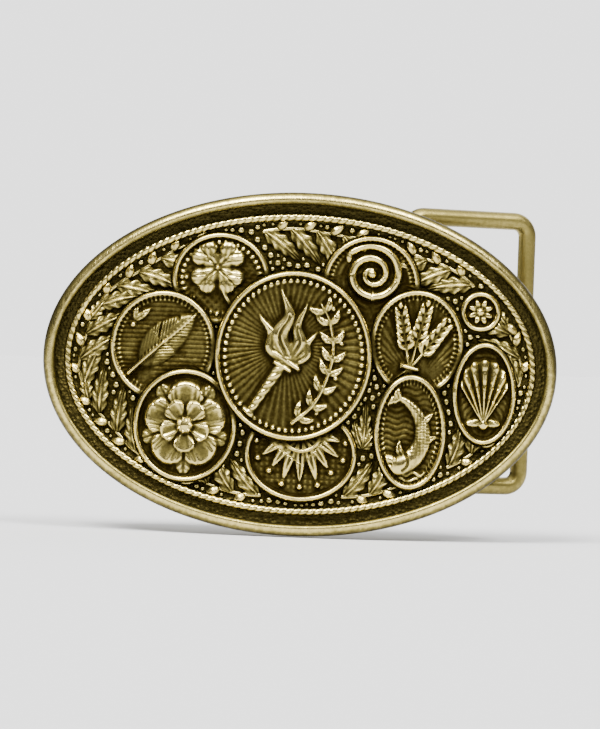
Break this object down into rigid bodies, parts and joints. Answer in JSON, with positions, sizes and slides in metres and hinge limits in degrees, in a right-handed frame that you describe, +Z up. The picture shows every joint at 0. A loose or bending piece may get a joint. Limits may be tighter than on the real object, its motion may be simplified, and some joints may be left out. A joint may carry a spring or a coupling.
{
  "type": "belt buckle",
  "caption": "Oval plaque belt buckle with coin medallions and vines in relief, a peg for the strap's holes and a hinged wire bail that the strap is folded round.",
  "frame": {"origin": "centre of the plaque's back face, where the strap lies", "axes": "+X along the plaque towards the bail (the wearer's left), +Y towards the wearer, +Z up"},
  "size_m": [0.082, 0.0165, 0.0544],
  "materials": {
    "plate": "dark patina on the front, brushed on the back",
    "rim": "polished on the crest, worn patina below",
    "ornament": "antiqued relief, bright crests and dark recesses",
    "hardware": "satin"
  },
  "bodies": {
    "plaque": {"base_plate": "plate", "rim_ring": "rim", "bead_ring": "ornament", "medallion_torch": "ornament", "medallion_rose": "ornament", "medallion_dolphin": "ornament", "medallion_shell": "ornament", "medallion_feather": "ornament", "medallion_wheat": "ornament", "medallion_palmette": "ornament", "medallion_clover": "ornament", "medallion_scroll": "ornament", "medallion_daisy": "ornament", "vine_right": "ornament", "vine_upper_right": "ornament", "vine_top": "ornament", "vine_upper_left": "ornament", "vine_left": "ornament", "vine_lower_left": "ornament", "vine_bottom_left": "ornament", "vine_bottom_right": "ornament", "vine_lower_right": "ornament", "leaf_sprig": "ornament", "hinge_bracket": "hardware", "hinge_rivets": "hardware", "peg_pad": "hardware", "hook_peg": "hardware"},
    "bail": {"bail_loop": "hardware"}
  },
  "joints": [
    {"name": "bail_swing", "type": "hinge", "parent": "plaque", "child": "bail", "pos_m": [0.01675, 0.00329, 0], "axis": [0, 0, 1], "range_deg": [-14, 158]}
  ]
}
